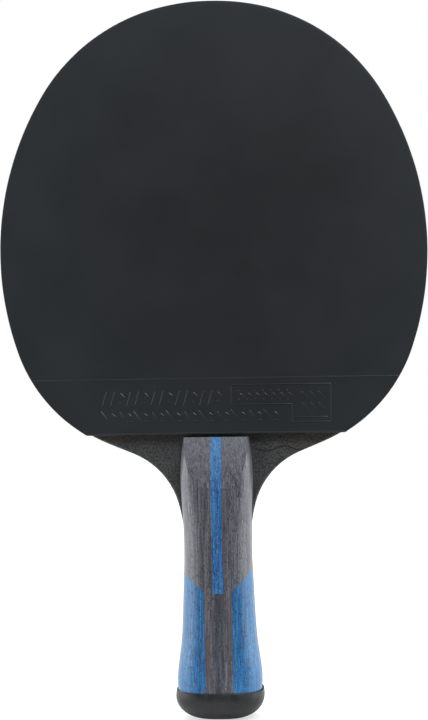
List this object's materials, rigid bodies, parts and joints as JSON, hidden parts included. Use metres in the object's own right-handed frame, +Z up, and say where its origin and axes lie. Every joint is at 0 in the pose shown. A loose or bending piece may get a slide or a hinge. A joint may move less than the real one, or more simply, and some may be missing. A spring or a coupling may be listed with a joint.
{
  "type": "table tennis paddle",
  "caption": "Table tennis paddle: plywood blade with black rubber on one face and red on the other, a flared grey handle with blue inlays and a soft dark end cap.",
  "frame": {"origin": "middle of the end cap's foot, on the plane halfway between the two playing faces", "axes": "+Z up the handle to the crown of the head; +X across the head, to the right as seen from the front; -Y out of the front, black face, and +Y out of the back, red face"},
  "size_m": [0.1524, 0.0248, 0.2563],
  "materials": {
    "pale_ply": "matte",
    "stained_ply": "satin",
    "sponge": "matte",
    "black_rubber": "matte",
    "red_rubber": "satin",
    "grey_wood": "satin",
    "blue_wood": "satin",
    "cap_rubber": "satin"
  },
  "bodies": {
    "root": {"outer_ply_front": "stained_ply", "outer_ply_back": "stained_ply", "inner_ply_front": "pale_ply", "core_ply": "pale_ply", "inner_ply_back": "pale_ply", "sponge_front": "sponge", "centre_inlay_front": "blue_wood", "lower_centre_strip_front": "grey_wood", "grip_left_front": "grey_wood", "flank_left_front": "blue_wood", "grip_right_front": "grey_wood", "flank_right_front": "blue_wood", "sponge_back": "sponge", "centre_inlay_back": "blue_wood", "lower_centre_strip_back": "grey_wood", "grip_left_back": "grey_wood", "flank_left_back": "blue_wood", "grip_right_back": "grey_wood", "flank_right_back": "blue_wood", "topsheet_front": "black_rubber", "topsheet_back": "red_rubber", "end_cap": "cap_rubber"}
  },
  "joints": []
}
